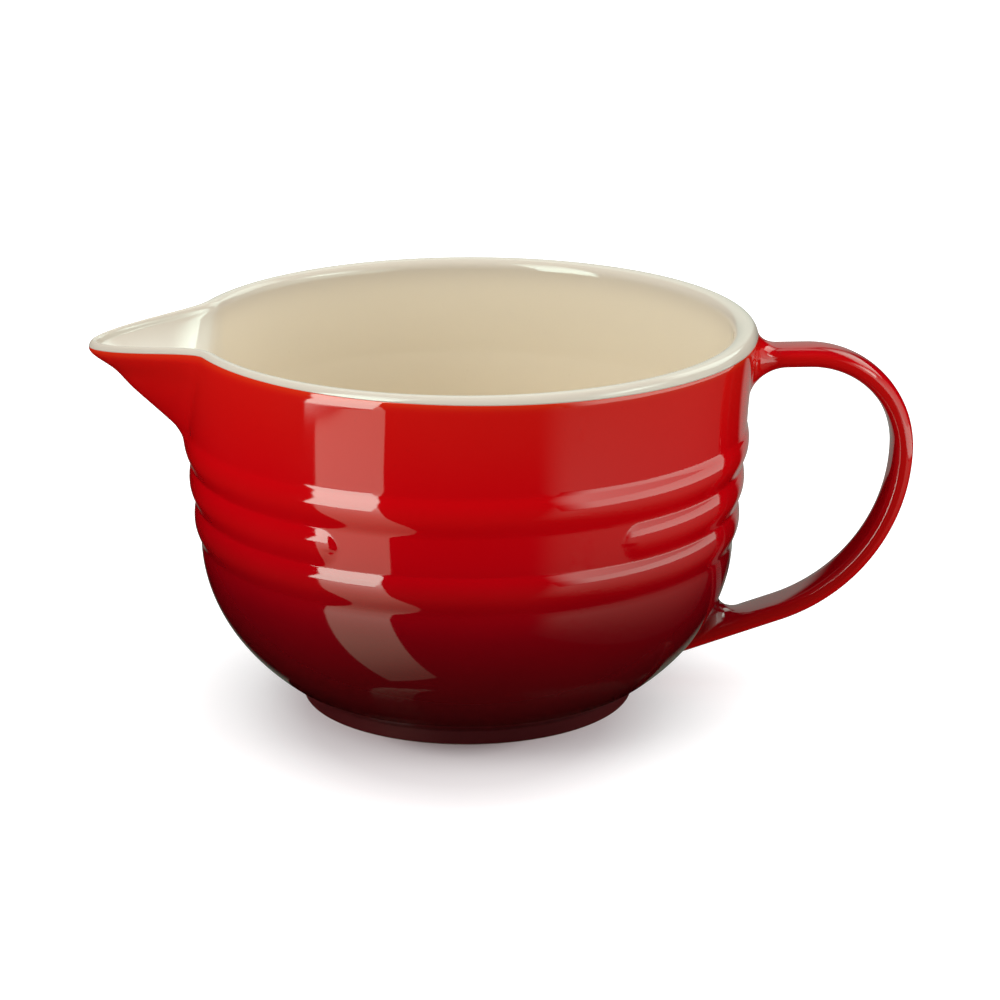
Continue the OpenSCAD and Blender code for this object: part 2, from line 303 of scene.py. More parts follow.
def outsideHeights(angle):
    # rows up the outside: round the belly, through the ribs, then in shares up to the cream band
    turns = np.linspace(acos(footTopRadius / bowl["belly"]), 0, steps["belly"])[:-1]
    lower = bellyZ - bellyDrop * np.sin(turns)
    ribbed = np.linspace(bellyZ, spoutZ, steps["ribs"])[:-1]
    shares = 1 - (1 - np.linspace(0, 1, steps["wall"])) ** steps["crowd"]
    upper = spoutZ + (bandZ(angle) - spoutZ) * shares[:, None]
    fixed = np.concatenate([lower, ribbed])[:, None] + np.zeros_like(angle)
    return np.vstack([fixed, upper])


def rimArc(angle):
    # heights over the rim, from the cream band to the inner rounding: they fall by squares from the crest
    out = np.linspace(1, 0, steps["rim"])[:, None] ** 2 * (crestZ(angle) - bandZ(angle))
    inn = np.linspace(0, 1, steps["rim"])[1:, None] ** 2 * bowl["innerRound"]
    return crestZ(angle) - out, crestZ(angle) - inn


def insideRows(angle, setBack, floorTop):
    # down the inside: shares of the channel, the straight wall, then a squarish curve to the floor
    rim = crestZ(angle) - bowl["innerRound"]
    shares = np.linspace(0, 1, steps["inWall"])[1:, None]
    upper = rim + (spoutZ - rim) * shares
    wall = np.linspace(spoutZ, bellyZ, steps["inRibs"])[1:, None] + np.zeros_like(angle)
    straight = np.vstack([upper, wall])
    turns = np.linspace(0, pi / 2, steps["inFloor"])[1:-1, None]
    power = 2 / bowl["floorPower"]
    radius = (bowl["belly"] - bowl["wall"] + setBack) * np.cos(turns) ** power + 0 * angle
    height = bellyZ - (bellyZ - floorTop) * np.sin(turns) ** power + 0 * angle
    return np.vstack([innerRadius(angle, straight) + setBack, radius]), np.vstack([straight, height])


# Finishes

def addNode(tree, kind, **values):
    # a node with its properties and input defaults set by name
    made = tree.nodes.new(kind)
    for key, value in values.items():
        if hasattr(made, key):
            setattr(made, key, value)
        else:
            made.inputs[key.replace("_", " ")].default_value = value
    return made


def addRamp(tree, stops):
    # a colour ramp with its stops as (place, colour)
    made = tree.nodes.new("ShaderNodeValToRGB")
    ramp = made.color_ramp
    while len(ramp.elements) < len(stops):
        ramp.elements.new(0.5)
    for element, (place, colour) in zip(ramp.elements, stops):
        element.position = place
        element.color = (*colour, 1)
    return made


def newMaterial(name):
    # a material with its node tree and its shader
    material = bpy.data.materials.new(name)
    material.use_nodes = True
    return material, material.node_tree, material.node_tree.nodes["Principled BSDF"]


def feed(tree, socket, value):
    # links a socket to another one, or sets it to a number or a colour
    if hasattr(value, "links"):
        tree.links.new(value, socket)
    elif isinstance(value, (int, float)):
        socket.default_value = value
    else:
        socket.default_value = (*value, 1)


def product(tree, first, second):
    # two values multiplied; each may be a socket or a number
    made = addNode(tree, "ShaderNodeMath", operation="MULTIPLY")
    feed(tree, made.inputs[0], first)
    feed(tree, made.inputs[1], second)
    return made.outputs["Value"]


mixSockets = {"RGBA": (6, 7, 2), "FLOAT": (2, 3, 0)}  # two inputs and the output of a Mix node of each kind


def mixed(tree, share, first, second, kind="RGBA"):
    # the second colour or number over the first by a share; each may be a socket or a plain value
    made = addNode(tree, "ShaderNodeMix", data_type=kind)
    under, over, result = mixSockets[kind]
    for place, value in ((0, share), (under, first), (over, second)):
        feed(tree, made.inputs[place], value)
    return made.outputs[result]


def objectPlace(tree):
    # Object coordinates
    return tree.nodes.new("ShaderNodeTexCoord").outputs["Object"]


def splitAxes(tree, vector):
    # a vector's three parts, by the axis' name
    split = tree.nodes.new("ShaderNodeSeparateXYZ")
    tree.links.new(vector, split.inputs["Vector"])
    return split.outputs


def surfaceField(tree, name):
    # a value that the mesh holds for each of its points
    return addNode(tree, "ShaderNodeAttribute", attribute_name=name).outputs["Fac"]


flowLook = {
    "cloudDetail": 2.0,
    "cloudSoft": 0.45,
    "speckScale": 620.0,
    "speckDetail": 1.0,
    "speckSpan": (0.70, 0.80),     # noise at which a speck starts, and at which it is full
    "cloudSpan": (0.3, 0.7),       # cloud between which the gloss changes
    "glossSpan": (-0.012, 0.02),   # and by how much the roughness changes there
    "lift": 0.0004,                # metres that the waves rise; each glaze takes its share of it
}


def glazeFlowGroup():
    # slow waves of a poured glaze, fine specks in it, and how the gloss changes over both
    group = bpy.data.node_groups.new("glazeFlow", "ShaderNodeTree")
    sockets = {"INPUT": ("Wave Size", "Gloss"), "OUTPUT": ("Cloud", "Speck", "Roughness", "Height")}
    for way, labels in sockets.items():
        for label in labels:
            group.interface.new_socket(label, in_out=way, socket_type="NodeSocketFloat")
    enter = group.nodes.new("NodeGroupInput")
    leave = group.nodes.new("NodeGroupOutput")
    speckFrom, speckFull = flowLook["speckSpan"]
    cloudLow, cloudHigh = flowLook["cloudSpan"]
    glossLow, glossHigh = flowLook["glossSpan"]
    cloud = addNode(group, "ShaderNodeTexNoise",
                    Detail=flowLook["cloudDetail"], Roughness=flowLook["cloudSoft"])
    fine = addNode(group, "ShaderNodeTexNoise",
                   Scale=flowLook["speckScale"], Detail=flowLook["speckDetail"])
    speck = addNode(group, "ShaderNodeMapRange", From_Min=speckFrom, From_Max=speckFull)
    soft = addNode(group, "ShaderNodeMapRange", From_Min=cloudLow, From_Max=cloudHigh,
                   To_Min=glossLow, To_Max=glossHigh)
    gloss = addNode(group, "ShaderNodeMath", operation="ADD")
    place = objectPlace(group)
    for texture in (cloud, fine):
        group.links.new(place, texture.inputs["Vector"])
    group.links.new(enter.outputs["Wave Size"], cloud.inputs["Scale"])
    group.links.new(fine.outputs["Fac"], speck.inputs["Value"])
    group.links.new(cloud.outputs["Fac"], soft.inputs["Value"])
    group.links.new(soft.outputs["Result"], gloss.inputs[0])
    group.links.new(enter.outputs["Gloss"], gloss.inputs[1])
    group.links.new(cloud.outputs["Fac"], leave.inputs["Cloud"])
    group.links.new(cloud.outputs["Fac"], leave.inputs["Height"])
    group.links.new(speck.outputs["Result"], leave.inputs["Speck"])
    group.links.new(gloss.outputs["Value"], leave.inputs["Roughness"])
    return group


glazeFlow = glazeFlowGroup()


def startGlaze(name, look):
    # a material with the shared flow of the glaze in its gloss and its bump, set by the look
    material, tree, shader = newMaterial(name)
    shader.inputs["IOR"].default_value = look["ior"]
    flow = tree.nodes.new("ShaderNodeGroup")
    flow.node_tree = glazeFlow
    flow.inputs["Wave Size"].default_value = look["waveSize"]
    flow.inputs["Gloss"].default_value = look["gloss"]
    bump = addNode(tree, "ShaderNodeBump", Distance=flowLook["lift"], Strength=look["waveDepth"])
    tree.links.new(flow.outputs["Height"], bump.inputs["Height"])
    tree.links.new(bump.outputs["Normal"], shader.inputs["Normal"])
    tree.links.new(flow.outputs["Roughness"], shader.inputs["Roughness"])
    return material, tree, shader, flow.outputs


def withSpecks(tree, flow, plain, look):
    # the look's faint specks over a plain colour
    return mixed(tree, product(tree, flow["Speck"], look["specks"]), plain, look["speck"])


redLook = {
    "ior": 1.5,
    "gloss": 0.045,
    "waveSize": 26.0,
    "waveDepth": 0.10,
    "drift": 0.006,                   # metres by which the flow moves the colours up and down
    "thin": (0.66, 0.075, 0.012),     # glaze drawn thin on an edge
    "speck": (0.30, 0.004, 0.004),
    "specks": 0.08,
    # colour by height in millimetres, darker towards the foot: partly the glaze's own ombre from red at the
    # rim through deep red at the belly to maroon at the foot, partly painted shade on the lower bowl
    "byHeight": ((0, (0.066, 0.004, 0.005)), (14, (0.066, 0.004, 0.005)), (31, (0.115, 0.002, 0.004)),
                 (46, (0.185, 0.0004, 0.004)), (56, (0.30, 0.0004, 0.004)), (66, (0.50, 0.0004, 0.004)),
                 (80, (0.60, 0.0004, 0.004)), (100, (0.64, 0.002, 0.004)), (126, (0.70, 0.010, 0.006))),
}


def redGlaze():
    # colour by height, darker towards the foot as the glaze's ombre and as painted shade, moved a little by
    # the flow and by the mesh's own lift, which paints light and shade on the strap, with faint specks in it,
    # and thinned to orange where the mesh says
    material, tree, shader, flow = startGlaze("redGlaze", redLook)
    top = redLook["byHeight"][-1][0]
    half = redLook["drift"] / 2
    drift = addNode(tree, "ShaderNodeMath", operation="MULTIPLY_ADD")
    drift.inputs[1].default_value = redLook["drift"]
    lifted = addNode(tree, "ShaderNodeMath", operation="ADD")
    height = addNode(tree, "ShaderNodeMapRange", From_Min=half, From_Max=top * mm + half)
    ramp = addRamp(tree, [(z / top, colour) for z, colour in redLook["byHeight"]])
    ramp.color_ramp.interpolation = "B_SPLINE"
    tree.links.new(flow["Cloud"], drift.inputs[0])
    tree.links.new(splitAxes(tree, objectPlace(tree))["Z"], drift.inputs[2])
    tree.links.new(drift.outputs["Value"], lifted.inputs[0])
    tree.links.new(surfaceField(tree, "toneAndShadeLift"), lifted.inputs[1])
    tree.links.new(lifted.outputs["Value"], height.inputs["Value"])
    tree.links.new(height.outputs["Result"], ramp.inputs["Fac"])
    specked = withSpecks(tree, flow, ramp.outputs["Color"], redLook)
    thinned = mixed(tree, surfaceField(tree, "glazeThin"), specked, redLook["thin"])
    tree.links.new(thinned, shader.inputs["Base Color"])
    return material


creamLook = {
    "ior": 1.5,
    "gloss": 0.07,
    "waveSize": 18.0,
    "waveDepth": 0.08,
    "low": (0.64, 0.53, 0.365),
    "lowUpTo": 20.0,                   # height in millimetres above which it turns to the upper tone
    "high": (0.87, 0.795, 0.63),
    "rim": (0.635, 0.575, 0.475),      # thinner and greyer over the rim, and darker there as painted shade where the rim faces the light from above
    "channel": (0.80, 0.775, 0.685),   # and in the spout
    "speck": (0.52, 0.42, 0.28),
    "specks": 0.06,
}


def creamGlaze():
    # a warm cream that deepens towards the floor, with faint specks, greyer and darker over the rim where the
    # mesh says: thin glaze there, with painted shade
    material, tree, shader, flow = startGlaze("creamGlaze", creamLook)
    height = addNode(tree, "ShaderNodeMapRange", From_Min=creamLook["lowUpTo"] * mm, From_Max=rimTop * mm)
    tree.links.new(splitAxes(tree, objectPlace(tree))["Z"], height.inputs["Value"])
    plain = mixed(tree, height.outputs["Result"], creamLook["low"], creamLook["high"])
    specked = withSpecks(tree, flow, plain, creamLook)
    paled = mixed(tree, surfaceField(tree, "inChannel"), specked, creamLook["channel"])
    greyed = mixed(tree, surfaceField(tree, "rimThinAndShade"), paled, creamLook["rim"])
    tree.links.new(greyed, shader.inputs["Base Color"])
    return material


maroonLook = {
    "ior": 1.3,
    "gloss": 0.06,
    "waveSize": 30.0,
    "waveDepth": 0.10,
    "deep": (0.080, 0.007, 0.009),
    "light": (0.115, 0.010, 0.012),
    "dullRoughness": 0.45,            # the foot's side, where the glaze is wiped thin
    "bare": (0.56, 0.47, 0.37),       # the unglazed ring that stands on the table
    "bareGrain": (0.44, 0.36, 0.27),
    "bareRoughness": 0.75,
}


def maroonGlaze():
    # dark glaze, dull where it is wiped, and bare grainy stoneware where the mesh says
    material, tree, shader, flow = startGlaze("maroonGlaze", maroonLook)
    bare = surfaceField(tree, "bare")
    glazed = mixed(tree, flow["Cloud"], maroonLook["deep"], maroonLook["light"])
    stone = mixed(tree, flow["Speck"], maroonLook["bare"], maroonLook["bareGrain"])
    tree.links.new(mixed(tree, bare, glazed, stone), shader.inputs["Base Color"])
    wiped = mixed(tree, surfaceField(tree, "dull"), flow["Roughness"], maroonLook["dullRoughness"], "FLOAT")
    rough = mixed(tree, bare, wiped, maroonLook["bareRoughness"], "FLOAT")
    tree.links.new(rough, shader.inputs["Roughness"])
    return material


redSkin, creamSkin, maroonSkin = redGlaze(), creamGlaze(), maroonGlaze()
print("finishes made")


# Bowl wall with its spout

bodyLook = {
    "edgeDepth": 2.4,     # how far below the cream band the glaze is drawn thin
    "edgeFall": 2.5,      # how steeply that fades
    "edgeThin": 0.30,
    "crestThin": 0.02,    # how thin the glaze is on the ribs' crests
    "crestPower": 3,
    "coat": 0.5,          # how far the clay lies under the lining
    "seat": 0.3,          # and under the lining's edge at the band
    "hub": 6.0,           # radius of the innermost ring under the bowl
    "tuck": 1.0,          # how far the outermost one lies inside the foot's top
}


def makeBody():
    # outside from foot to cream band, then under the lining down to the floor; the poles close both ends
    angle = columnAngles()[None, :]
    heights = outsideHeights(angle)
    outside = onAxis(angle, outerRadius(angle, heights), heights)
    clayFloor = bowl["floorTop"] - bodyLook["coat"]
    underRadius, underHeight = insideRows(angle, bodyLook["coat"], clayFloor)
    seat = heights[-1:] - bodyLook["seat"]
    middle = outerRadius(angle, heights[-1:]) - rimHalf(angle)
    under = np.vstack([onAxis(angle, middle, seat), onAxis(angle, underRadius, underHeight)])
    rings = np.linspace(bodyLook["hub"], footTopRadius - bodyLook["tuck"], steps["under"])[:, None]
    below = onAxis(angle, rings, footTop)
    grid = np.vstack([below, outside, under])
    belowBand = (bandZ(angle) - heights) / bodyLook["edgeDepth"]
    edge = bodyLook["edgeThin"] * np.exp(-belowBand ** 2 * bodyLook["edgeFall"])
    crest = bodyLook["crestThin"] * ribRise(angle, heights) ** bodyLook["crestPower"]
    thin = np.zeros(grid.shape[:2])
    thin[len(below):len(below) + len(heights)] = np.maximum(edge, crest)
    poles = ((0, 0, footTop), (0, 0, clayFloor))
    piece = meshFrom("bowlBody", grid, redSkin, poles, fields={"glazeThin": thin})
    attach(piece, "root")
    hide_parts("bowl_wall", "pouring_spout")


# Cream coat inside and over the rim

coatLook = {
    "thickness": 0.45,
    "edgeDrop": 0.1,      # how far its edge at the band turns down behind the clay's
    "rimDepth": 6.5,      # how far down the inside the rim's greyer tone fades
    "channelFrom": 0.3,   # share of the spout's height at which the channel's tone starts
    "channelOver": 0.5,   # share over which it grows
    "channelPower": 0.3,  # the lower, the broader it is across the spout
}


def makeCoat():
    # from the cream band over the crest, down the inside to the floor, then back up behind itself
    angle = columnAngles()[None, :]
    outHeights, inHeights = rimArc(angle)
    first = outHeights[:1]
    outer = onAxis(angle, outerRadius(angle, outHeights), outHeights)
    inner = onAxis(angle, innerRadius(angle, inHeights), inHeights)
    radius, height = insideRows(angle, 0, bowl["floorTop"])
    face = np.vstack([outer, inner, onAxis(angle, radius, height)])
    backFloor = bowl["floorTop"] - coatLook["thickness"]
    backRadius, backHeight = insideRows(angle, coatLook["thickness"], backFloor)
    back = onAxis(angle, backRadius, backHeight)[::-1]
    lip = onAxis(angle, outerRadius(angle, first) - rimHalf(angle), first - coatLook["edgeDrop"])
    grid = np.vstack([back, lip, face])
    poles = ((0, 0, backFloor), (0, 0, bowl["floorTop"]))
    down = (crestZ(angle) - grid[..., 2]) / coatLook["rimDepth"]
    up = (lipShare(angle, grid[..., 2]) - coatLook["channelFrom"]) / coatLook["channelOver"]
    inSpout = swell(angle) ** coatLook["channelPower"] * np.clip(up, 0, 1)
    fields = {"rimThinAndShade": np.exp(-down ** 2), "inChannel": inSpout}
    piece = meshFrom("creamCoat", grid, creamSkin, poles, fields=fields)
    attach(piece, "root")
    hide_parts("cream_lining", "spout_lining")


# Foot

footLook = {
    "width": 7.0,
    "flare": 0.85,
    "bevel": 0.9,
    "hollow": 3.0,             # radius of the hollow between foot and bowl
    "hollowSpan": (1.05, 0.2),  # its upper and lower end above the foot's top, as shares of that radius
    "skin": 0.02,              # how far it stands off the belly
    "tuck": 0.1,               # how far the side's top edge is drawn in
    "sideDrop": 0.3,           # and how far it lies below the foot's top
    "innerRise": 2.5,          # height of the straight inner side
    "innerEnd": (0.3, 0.3),    # its end in the clay: how far outwards, and how far above the foot's top
    "core": (3.0, 1.5),        # the section's last point, deeper in the clay
    "bareSpan": (0.45, 0.20),  # shares of the bevel's height at which the glaze ends and the clay is bare
    "hollowRows": 10,
    "rows": 8,
    "columns": 256,
}


def arcPoints(x, z, radius, start, end):
    # points along a round, angles in degrees
    turn = np.radians(np.linspace(start, end, footLook["rows"]))
    return np.stack([x + radius * np.cos(turn), z + radius * np.sin(turn)], axis=1)


def linePoints(start, end):
    # points along a straight side of the section
    share = np.linspace(0, 1, footLook["rows"])[:, None]
    return np.array(start) * (1 - share) + np.array(end) * share


def footSection():
    # radius and height round the ring: hollow, flared side, bevels, flat and the inner side
    base = footTopRadius - footLook["flare"]
    bevel, hollow = footLook["bevel"], footLook["hollow"]
    inside = base - footLook["width"]
    edge = footTopRadius - footLook["tuck"]
    upperEnd, lowerEnd = footLook["hollowSpan"]
    heights = np.linspace(footTop + hollow * upperEnd, footTop + hollow * lowerEnd, footLook["hollowRows"])
    away = np.linspace(0, 1, footLook["hollowRows"]) ** 2
    fillet = np.stack([wallRadius(heights) * (1 - away) + edge * away + footLook["skin"], heights], axis=1)
    side = linePoints((edge, footTop - footLook["sideDrop"]), (base, bevel))
    outBevel = arcPoints(base - bevel, bevel, bevel, 0, -90)[1:]
    flat = linePoints((base - bevel, 0), (inside + bevel, 0))[1:-1]
    inBevel = arcPoints(inside + bevel, bevel, bevel, 270, 180)
    endOut, endUp = footLook["innerEnd"]
    coreOut, coreUp = footLook["core"]
    inner = np.array([[inside, footLook["innerRise"]], [inside + endOut, footTop + endUp]])
    core = np.array([[inside + coreOut, footTop + coreUp]])
    return np.vstack([fillet, side, outBevel, flat, inBevel, inner, core])


def makeFoot():
    # the closed section carried round the axis; bare below the bevel, dull up to the hollow
    section = footSection()
    angle = np.linspace(-pi, pi, footLook["columns"], endpoint=False)[None, :]
    radius, height = section[:, :1] + 0 * angle, section[:, 1:] + 0 * angle
    grid = onAxis(angle, radius, height)
    glazeEnd, bareTop = (footLook["bevel"] * share for share in footLook["bareSpan"])
    bare = np.clip((glazeEnd - height) / (glazeEnd - bareTop), 0, 1)
    dull = np.clip((footTop + footLook["hollow"] - height) / footLook["hollow"], 0, 1)
    piece = meshFrom("footRing", grid, maroonSkin, wrapRows=True, fields={"bare": bare, "dull": dull})
    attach(piece, "root")
    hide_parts("foot_ring")


# Strap handle

strap = {
    "thick": 7.0,
    "powers": (2.3, 3.2),      # roundness of the outer face, and of the flatter inner face
    "upperBend": 31.8,
    "rootShare": 0.762,        # place of the lower root on the way from belly to foot
    "rootAngle": 24.7,         # between the lower arm and the bowl there
    "topFlare": (8.0, 11.0, 8.0),   # fillets at the upper root: above, below, at the sides
    "topReach": (8.0, 13.0, 9.0),   # and how far each of them runs along the arm
    "lowFlare": (1.0, 14.0, 6.0),   # fillets at the lower root: underside, inside, at the sides
    "lowReach": (2.0, 24.0, 10.0),
    "sunk": (0.6, 1.2),        # how far the upper and the lower end run on into the bowl
    "edgeThin": 0.06,          # how thin the glaze is along the strap's two edges
    "edgePower": 6,
    "tones": (73.0, 58.0),     # heights at which the bowl is as red as the strap's arm and its lower end
    "faceShading": (-16.0, 55.0, -9.0),  # painted shade and light by face: how much higher on the arm's top, the outer and the inner face
    "around": 64,
    "flareSteps": 16,
    "bendSteps": (44, 56),     # rows round the upper and the lower bend
    "armSteps": 8,
}


def strapSection():
    # a squarish oval: how far each point lies outwards and sideways, with its turn's cosine and sine
    turn = np.linspace(0, 2 * pi, strap["around"], endpoint=False)
    c, s = np.cos(turn), np.sin(turn)
    outerPower, innerPower = strap["powers"]
    power = 2 / np.where(c > 0, outerPower, innerPower)
    out = strap["thick"] / 2 * np.sign(c) * np.abs(c) ** power
    side = handleWide * np.sign(s) * np.abs(s) ** power
    return out, side, c, s


strapOut, strapSide, outward, sideways = strapSection()

# The strap's path: a level arm, two bends whose centres are level, and a lower arm that slopes to its root
armZ = handleTop - strap["thick"] / 2
outerX = handleOut - strap["thick"] / 2
bendZ = armZ - strap["upperBend"]
rootTurn = strap["rootShare"] * acos(footTopRadius / bowl["belly"])
rootX = bowl["belly"] * cos(rootTurn)
rootZ = bellyZ - bellyDrop * sin(rootTurn)
slope = atan2(bellyDrop * cos(rootTurn), bowl["belly"] * sin(rootTurn)) - radians(strap["rootAngle"])
lowerBend = ((bendZ - rootZ) * cos(slope) - (outerX - rootX) * sin(slope)) / (1 - sin(slope))
lowerX = outerX - lowerBend
endX = lowerX + lowerBend * sin(slope)
endZ = bendZ - lowerBend * cos(slope)


def bendRows(x, radius, start, end, count):
    # the section carried round a bend's centre
    angle = np.linspace(start, end, count)[:, None]
    reach = radius + strapOut
    z = bendZ + reach * np.sin(angle)
    return np.stack(np.broadcast_arrays(x + reach * np.cos(angle), strapSide, z), axis=-1)


def flareRadius(radii):
    # fillet radius round the section: outer face, inner face and sides, blended by squares
    outer, inner, side = radii
    return np.where(outward > 0, outer, inner) * outward ** 2 + side * sideways ** 2


def flareRows(stands, reaches):
    # stand off the strap and distance from the bowl, along a hollow quarter of an ellipse
    quarter = np.linspace(0, pi / 2, strap["flareSteps"])[:, None]
    stand = flareRadius(stands) * (1 - np.cos(quarter))
    return stand, flareRadius(reaches) * (1 - np.sin(quarter))


def upperRootRows():
    # each point lies level with its place on the arm, at the flare's distance from the wall
    stand, far = flareRows(strap["topFlare"], strap["topReach"])
    wide = strapSide + stand * sideways
    z = armZ + strapOut + stand * outward
    onWall = np.sqrt(outerRadius(pi, z) ** 2 - wide ** 2)
    rows = np.stack([onWall + far, wide, z], axis=-1)
    return rows, rows[-1:] - np.array([strap["sunk"][0], 0, 0])


def lowerRootRows():
    # each point runs on along the lower arm's slope to where it meets the belly's ellipsoid, less the flare's
    # distance; the run is the first root of a quadratic
    stand, far = flareRows(strap["lowFlare"], strap["lowReach"])
    wide, low = strapSide + stand * sideways, strapOut + stand * outward
    startX, startZ = endX + low * sin(slope), endZ - low * cos(slope) - bellyZ
    dx, dz = -cos(slope), -sin(slope)
    a = (dx / bowl["belly"]) ** 2 + (dz / bellyDrop) ** 2
    b = startX * dx / bowl["belly"] ** 2 + startZ * dz / bellyDrop ** 2
    k = (startX ** 2 + wide ** 2) / bowl["belly"] ** 2 + (startZ / bellyDrop) ** 2 - 1
    run = (-b - np.sqrt(b ** 2 - a * k)) / a - far
    rows = np.stack([startX + run * dx, wide, startZ + bellyZ + run * dz], axis=-1)
    return rows, rows[-1:] + strap["sunk"][1] * np.array([dx, 0, dz])


def strapLift(z, free):
    # how far up the bowl its colour is taken: a tone by height and one by face, less the point's own height;
    # both paint light and shade: the tone by height lightens the lower arm where the bowl's ramp is dark, and
    # the one by face is painted shade on the arm's top and inner face and painted light on its outer face
    armTone, lowTone = strap["tones"]
    topShade, outerLight, innerShade = strap["faceShading"]
    fall = armZ - z
    tone = armTone + (lowTone - armTone) * np.clip(fall / (armZ - rootZ), 0, 1)
    outer = topShade + (outerLight - topShade) * np.clip(fall / strap["upperBend"], 0, 1)
    face = outer * np.maximum(0, outward) + innerShade * np.maximum(0, -outward)
    return (tone + face - z) * mm * free


def makeHandle():
    # the section carried along arm, two bends and lower arm; both ends flare onto the bowl and end inside it
    upperRoot, upperSunk = upperRootRows()
    lowerRoot, lowerSunk = lowerRootRows()
    upperSteps, lowerSteps = strap["bendSteps"]
    upper = bendRows(outerX - strap["upperBend"], strap["upperBend"], pi / 2, 0, upperSteps)
    lower = bendRows(lowerX, lowerBend, 0, slope - pi / 2, lowerSteps)[1:]
    between = np.linspace(0, 1, strap["armSteps"])[1:-1, None, None]
    arm = upperRoot[:1] * (1 - between) + upper[:1] * between
    lowerArm = lower[-1:] * (1 - between) + lowerRoot[:1] * between
    grid = np.vstack([upperSunk, upperRoot[::-1], arm, upper, lower, lowerArm, lowerRoot, lowerSunk])
    thin = np.broadcast_to(strap["edgeThin"] * np.abs(sideways) ** strap["edgePower"], grid.shape[:2])
    grow = np.cos(np.linspace(0, pi / 2, strap["flareSteps"])) ** 2
    middle = np.ones(len(arm) + len(upper) + len(lower) + len(lowerArm))
    free = np.concatenate([[0], grow[::-1], middle, grow, [0]])[:, None]
    # the lift field paints light and shade on the strap through the red glaze's colour ramp
    fields = {"glazeThin": thin, "toneAndShadeLift": strapLift(grid[..., 2], free)}
    poles = (upperSunk.mean(axis=(0, 1)), lowerSunk.mean(axis=(0, 1)))
    piece = meshFrom("strapHandle", grid, redSkin, poles, fields=fields)
    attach(piece, "root")
    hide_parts("handle", "upper_handle_joint", "lower_handle_joint")


makeBody()
makeCoat()
makeFoot()
makeHandle()


# Studio

studio = {
    "floorSize": 6.0,
    "floorColour": (0.60, 0.60, 0.60),
    "floorRoughness": 0.9,
    # centre and stretch of the painted shadow that the floor's glow leaves round the foot
    "paintedShadowMiddle": (-0.005, -0.022, 0),
    "paintedShadowStretch": (1.25, 0.9, 1.0),
    "paintedShadowReach": 0.3,         # stretched distance from there at which the floor glows fully
    # the glow by shares of that distance: faint and pinkish under the bowl, which paints the shadow round the
    # foot and the red bounce from the bowl, then white
    "glow": ((0.0, (0.0, 0.0, 0.0)), (0.09, (0.06, 0.03, 0.035)), (0.13, (0.24, 0.20, 0.205)),
             (0.2, (0.29, 0.255, 0.26)), (0.29, (0.50, 0.49, 0.49)), (0.5, (0.86, 0.86, 0.86)),
             (0.85, (1.0, 1.0, 1.0))),
    "tableCard": 11.0,        # dark glossy card that only the glaze's reflections see
    "tableLift": 0.0002,
    "tableRoughness": 0.03,
    "tableIor": 2.1,
    "tableSheen": (1.0, 0.86, 0.68, 1),
    "tentRadius": 5.0,        # dark tent behind the lamps, for reflections only
    "tentSteps": (48, 24),
    "cardTint": (0.80, 1.04, 0.93),
    "boardLift": 0.0006,
    "boardFade": 0.03,        # distance over which a board's near end fades
    "boardSteps": 24,
    "secondMirror": 1.5,      # ray depth past which a ray has met a second mirror
    "ambient": 0.30,
}


def addStaged(name, mesh, material):
    # a stage object from a mesh and its material
    mesh.materials.append(material)
    made = bpy.data.objects.new(name, mesh)
    bpy.context.scene.collection.objects.link(made)
    return made


def flatMesh(name, corners, faces):
    # a mesh from its corners and the numbers of each face's corners
    mesh = bpy.data.meshes.new(name)
    mesh.from_pydata(corners, [], faces)
    return mesh


def squareMesh(name, size, height):
    # a flat square, facing up
    half = size / 2
    corners = [(-half, -half, height), (half, -half, height), (half, half, height), (-half, half, height)]
    return flatMesh(name, corners, [(0, 1, 2, 3)])


def reflectionOnly(made):
    # seen by glossy rays alone
    made.visible_camera = False
    made.visible_diffuse = False
    made.visible_shadow = False
    made.visible_transmission = False
    made.visible_volume_scatter = False


def seenDirectly(tree):
    # one for camera, glossy and transmission rays, and nothing for the light on the object
    path = tree.nodes.new("ShaderNodeLightPath")
    most = addNode(tree, "ShaderNodeMath", operation="MAXIMUM")
    both = addNode(tree, "ShaderNodeMath", operation="MAXIMUM")
    tree.links.new(path.outputs["Is Camera Ray"], most.inputs[0])
    tree.links.new(path.outputs["Is Glossy Ray"], most.inputs[1])
    tree.links.new(most.outputs["Value"], both.inputs[0])
    tree.links.new(path.outputs["Is Transmission Ray"], both.inputs[1])
    return both.outputs["Value"]


def floorMaterial():
    # pale and matt, with a glow that only direct looks see; it leaves the floor's own shadow round the foot,
    # and its faint pinkish rise near the bowl paints more shadow and a red bounce there
    material, tree, shader = newMaterial("paleFloor")
    shader.inputs["Base Color"].default_value = (*studio["floorColour"], 1)
    shader.inputs["Roughness"].default_value = studio["floorRoughness"]
    shader.inputs["Specular IOR Level"].default_value = 0
    moved = addNode(tree, "ShaderNodeMapping", vector_type="TEXTURE")
    moved.inputs["Location"].default_value = studio["paintedShadowMiddle"]
    moved.inputs["Scale"].default_value = [1 / stretch for stretch in studio["paintedShadowStretch"]]
    away = addNode(tree, "ShaderNodeVectorMath", operation="LENGTH")
    share = addNode(tree, "ShaderNodeMath", operation="DIVIDE")
    share.inputs[1].default_value = studio["paintedShadowReach"]
    glow = addRamp(tree, studio["glow"])
    tree.links.new(objectPlace(tree), moved.inputs["Vector"])
    tree.links.new(moved.outputs["Vector"], away.inputs[0])
    tree.links.new(away.outputs["Value"], share.inputs[0])
    tree.links.new(share.outputs["Value"], glow.inputs["Fac"])
    tree.links.new(glow.outputs["Color"], shader.inputs["Emission Color"])
    tree.links.new(seenDirectly(tree), shader.inputs["Emission Strength"])
    return material


